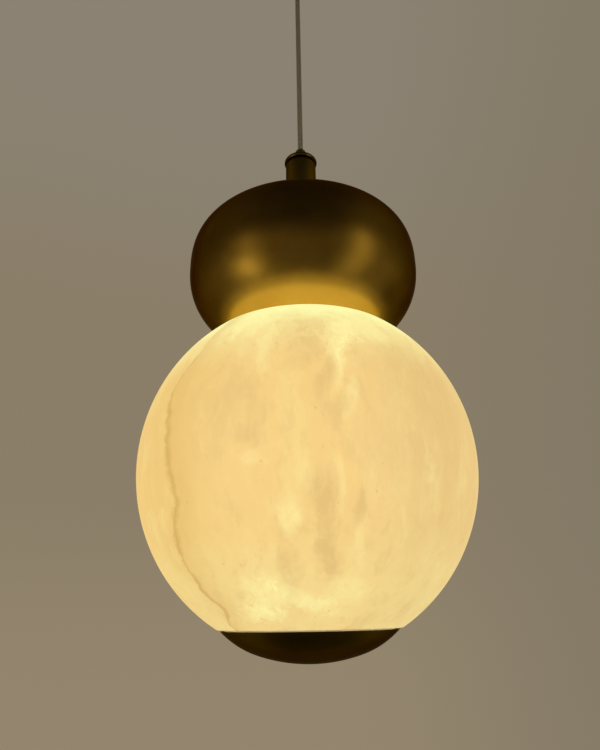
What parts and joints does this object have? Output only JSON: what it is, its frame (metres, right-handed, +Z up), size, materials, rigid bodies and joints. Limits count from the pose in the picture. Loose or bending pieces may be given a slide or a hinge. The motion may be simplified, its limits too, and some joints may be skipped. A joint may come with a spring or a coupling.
{
  "type": "pendant light",
  "caption": "Ceiling pendant: an oval satin brass housing over a large lit hollow alabaster globe with a shallow brass bottom cap, hung on a thin round flex.",
  "frame": {"origin": "centre of the ceiling crossbar's top plane, where the fitting meets the ceiling, midway between the screw slots", "axes": "+Z up towards the ceiling, +X along the crossbar"},
  "size_m": [0.3, 0.3, 0.8918],
  "materials": {
    "satin_brass": "satin antique brass, clear lacquered",
    "brass_fitting": "turned brass, satin",
    "alabaster": "honed translucent alabaster, lit from inside",
    "clear_flex": "clear PVC over tinned braid, smooth",
    "zinc_steel": "zinc plated",
    "white_plastic": "moulded, matt",
    "nylon": "natural nylon",
    "silicone": "translucent silicone",
    "cast_aluminium": "cast, machined",
    "anodised_core": "extruded, anodised",
    "led_board": "white solder mask with yellow chips",
    "core_insulation": "insulated core, brown and blue"
  },
  "bodies": {
    "ceiling_fitting": {"ceiling_crossbar": "zinc_steel", "ceiling_nipple": "zinc_steel", "crossbar_nuts": "zinc_steel", "canopy": "satin_brass", "terminal_block": "white_plastic", "ceiling_leads": "core_insulation", "upper_cord_grip": "brass_fitting", "upper_grub_screw": "zinc_steel", "upper_flex_tail": "clear_flex"},
    "flex_bush": {"outlet_bush": "nylon"},
    "flex": {"flex_cord": "clear_flex"},
    "lamp": {"lower_cord_grip": "brass_fitting", "lower_grub_screw": "zinc_steel", "lower_flex_tail": "clear_flex", "collar_lid": "brass_fitting", "stem_coupler": "zinc_steel", "collar_neck": "brass_fitting", "centre_tube": "zinc_steel", "collar_lock_washer": "zinc_steel", "collar_nut": "zinc_steel", "housing_upper_half": "satin_brass", "housing_lower_half": "satin_brass", "housing_washer": "zinc_steel", "housing_nut": "zinc_steel", "globe_seat": "cast_aluminium", "seat_nut": "zinc_steel", "led_driver": "white_plastic", "driver_strap_1": "zinc_steel", "driver_strap_2": "zinc_steel", "strap_screws": "zinc_steel", "junction_block": "white_plastic", "mains_leads": "core_insulation", "driver_leads": "core_insulation", "led_leads": "core_insulation", "top_gasket": "silicone", "alabaster_globe": "alabaster", "light_core": "anodised_core", "link_board": "led_board", "core_washers": "zinc_steel", "core_nuts": "zinc_steel", "base_gasket": "silicone", "support_plate": "zinc_steel", "support_nut": "zinc_steel", "led_strip_1": "led_board", "led_strip_2": "led_board", "led_strip_3": "led_board", "led_strip_4": "led_board", "led_strip_5": "led_board", "led_strip_6": "led_board"},
    "slip_washer": {"cap_slip_washer": "nylon"},
    "cap": {"bottom_cap": "satin_brass", "cap_boss": "brass_fitting"}
  },
  "joints": [
    {"name": "swing_front_back", "type": "hinge", "parent": "ceiling_fitting", "child": "flex_bush", "pos_m": [0, 0, -0.048], "axis": [1, 0, 0], "range_deg": [-20, 20]},
    {"name": "swing_side", "type": "hinge", "parent": "flex_bush", "child": "flex", "pos_m": [0, 0, -0.048], "axis": [0, 1, 0], "range_deg": [-20, 20]},
    {"name": "flex_twist", "type": "hinge", "parent": "flex", "child": "lamp", "pos_m": [0, 0, -0.3635], "axis": [0, 0, 1], "range_deg": [-180, 180]},
    {"name": "cap_drop", "type": "slide", "parent": "lamp", "child": "slip_washer", "axis": [0, 0, -1], "range_m": [0, 0.007]},
    {"name": "cap_turn", "type": "hinge", "parent": "slip_washer", "child": "cap", "pos_m": [0, 0, -0.866], "axis": [0, 0, -1], "range_deg": [0, 2520]}
  ],
  "couplings": [
    {"joint": "cap_drop", "follows": "cap_turn", "m_per_rad": 0.00015915}
  ]
}
